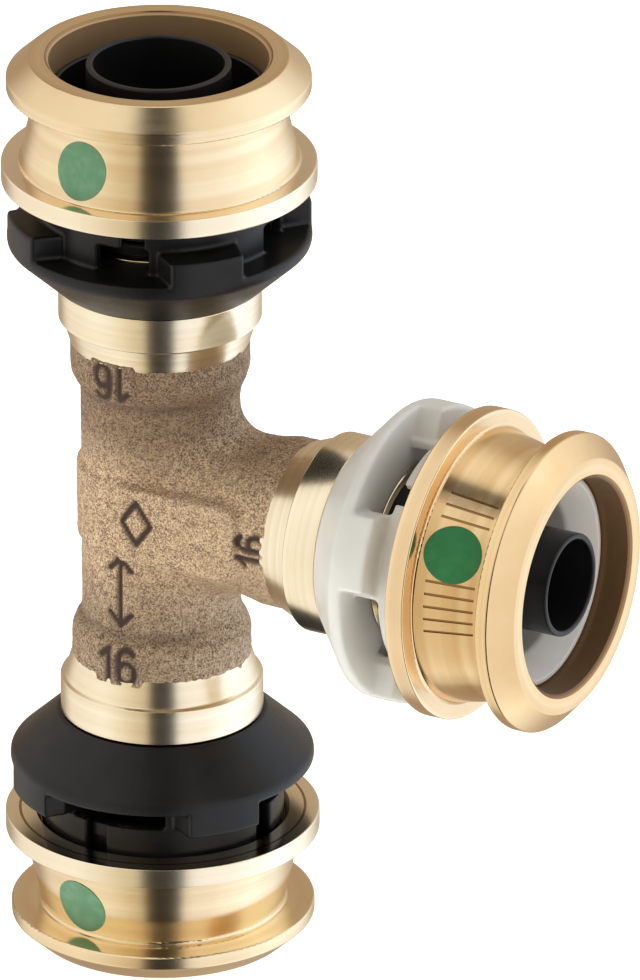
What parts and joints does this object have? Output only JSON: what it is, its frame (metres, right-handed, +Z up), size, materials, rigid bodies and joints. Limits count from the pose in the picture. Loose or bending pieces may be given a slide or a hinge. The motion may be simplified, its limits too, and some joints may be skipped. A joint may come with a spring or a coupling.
{
  "type": "push-fit pipe tee",
  "caption": "Cast gunmetal pipe tee; each port has a sliding brass press sleeve, a turning plastic holding ring with stop tabs, a clamp ring and a support tube with seals.",
  "frame": {"origin": "where the run's axis and the branch's axis cross, inside the casting", "axes": "+Z up along the run, +X out along the branch, so the side with the cast size numbers faces -Y"},
  "size_m": [0.0643, 0.032, 0.0966],
  "materials": {
    "gunmetal": "sand-cast skin with machined collars",
    "sleeve_brass": "satin turned",
    "black_plastic": "satin moulded",
    "white_plastic": "satin moulded, slightly translucent",
    "seal_rubber": "matt moulded",
    "green_ink": "printed spot"
  },
  "bodies": {
    "fitting": {"tee_body": "gunmetal", "support_sleeve_top": "black_plastic", "body_seal_top": "seal_rubber", "pipe_seals_top": "seal_rubber", "support_sleeve_bottom": "black_plastic", "body_seal_bottom": "seal_rubber", "pipe_seals_bottom": "seal_rubber", "support_sleeve_branch": "black_plastic", "body_seal_branch": "seal_rubber", "pipe_seals_branch": "seal_rubber"},
    "ring_top": {"holding_ring_top": "black_plastic", "clamp_ring_top": "black_plastic"},
    "sleeve_top": {"press_sleeve_top": "sleeve_brass", "press_mark_top": "green_ink"},
    "ring_bottom": {"holding_ring_bottom": "black_plastic", "clamp_ring_bottom": "black_plastic"},
    "sleeve_bottom": {"press_sleeve_bottom": "sleeve_brass", "press_mark_bottom": "green_ink"},
    "ring_branch": {"holding_ring_branch": "white_plastic", "clamp_ring_branch": "white_plastic"},
    "sleeve_branch": {"press_sleeve_branch": "sleeve_brass", "press_mark_branch": "green_ink"}
  },
  "joints": [
    {"name": "ring_turn_top", "type": "hinge", "parent": "fitting", "child": "ring_top", "pos_m": [0, 0, 0], "axis": [0, 0, 1], "continuous": true},
    {"name": "sleeve_press_top", "type": "slide", "parent": "ring_top", "child": "sleeve_top", "axis": [0, 0, -1], "range_m": [0, 0.0028]},
    {"name": "ring_turn_bottom", "type": "hinge", "parent": "fitting", "child": "ring_bottom", "pos_m": [0, 0, 0], "axis": [0, 0, -1], "continuous": true},
    {"name": "sleeve_press_bottom", "type": "slide", "parent": "ring_bottom", "child": "sleeve_bottom", "axis": [0, 0, 1], "range_m": [0, 0.0028]},
    {"name": "ring_turn_branch", "type": "hinge", "parent": "fitting", "child": "ring_branch", "pos_m": [0, 0, 0], "axis": [1, 0, 0], "continuous": true},
    {"name": "sleeve_press_branch", "type": "slide", "parent": "ring_branch", "child": "sleeve_branch", "axis": [-1, 0, 0], "range_m": [0, 0.0028]}
  ]
}
